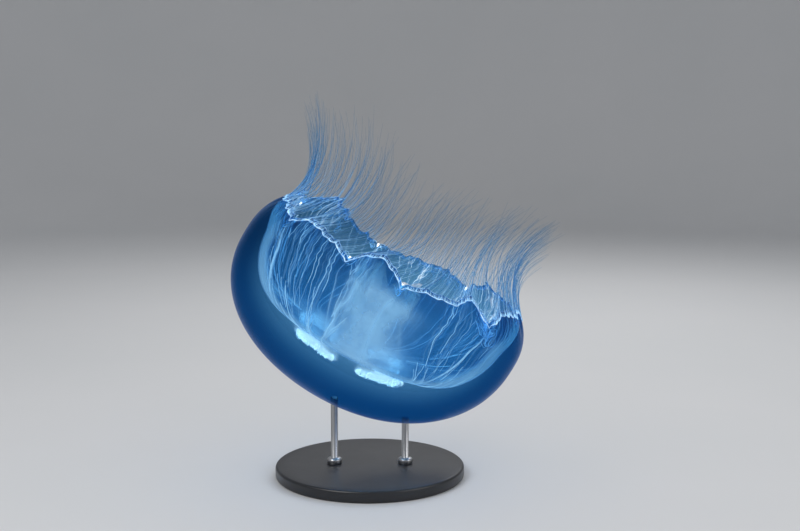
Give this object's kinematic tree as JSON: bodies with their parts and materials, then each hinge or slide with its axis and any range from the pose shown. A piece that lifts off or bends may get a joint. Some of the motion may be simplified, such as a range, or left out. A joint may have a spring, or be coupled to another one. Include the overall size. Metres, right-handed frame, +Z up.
{
  "type": "moon jellyfish",
  "caption": "Life-size moon jellyfish, swimming crown down and leaning over, with a clear domed bell, horseshoe gonads, oral arms and a fringe of fine tentacles, on a round rod stand.",
  "frame": {"origin": "centre of the underside of the stand's base", "axes": "+Z up. The bell's axis, from the crown to the mouth side, leans 28 degrees from +Z towards +X. -Y is the side of the body that is seen, +Y is its back"},
  "size_m": [0.2728, 0.2495, 0.3222],
  "materials": {
    "bell_jelly": "wet, glossy, see-through blue jelly, violet-white along its outline",
    "bell_lining": "milky, see-through pale blue with fine branching canals",
    "gonads": "dense, folded, almost white",
    "frills": "milky pale blue, thin and frilled",
    "tentacles": "fine clear blue threads",
    "sense_organs": "small bright white bodies",
    "stand_base": "satin black lacquer",
    "stand_rods": "brushed stainless steel"
  },
  "bodies": {
    "root": {"bell_dome": "bell_jelly", "bell_lining": "bell_lining", "gonad_1": "gonads", "oral_arm_1": "frills", "gonad_2": "gonads", "oral_arm_2": "frills", "gonad_3": "gonads", "oral_arm_3": "frills", "gonad_4": "gonads", "oral_arm_4": "frills", "mouth": "frills", "lappet_1": "bell_jelly", "sense_organ_1": "sense_organs", "tentacles_1": "tentacles", "lappet_2": "bell_jelly", "sense_organ_2": "sense_organs", "tentacles_2": "tentacles", "lappet_3": "bell_jelly", "sense_organ_3": "sense_organs", "tentacles_3": "tentacles", "lappet_4": "bell_jelly", "sense_organ_4": "sense_organs", "tentacles_4": "tentacles", "lappet_5": "bell_jelly", "sense_organ_5": "sense_organs", "tentacles_5": "tentacles", "lappet_6": "bell_jelly", "sense_organ_6": "sense_organs", "tentacles_6": "tentacles", "lappet_7": "bell_jelly", "sense_organ_7": "sense_organs", "tentacles_7": "tentacles", "lappet_8": "bell_jelly", "sense_organ_8": "sense_organs", "tentacles_8": "tentacles", "stand_base": "stand_base", "stand_rod_1": "stand_rods", "stand_rod_2": "stand_rods"}
  },
  "joints": []
}
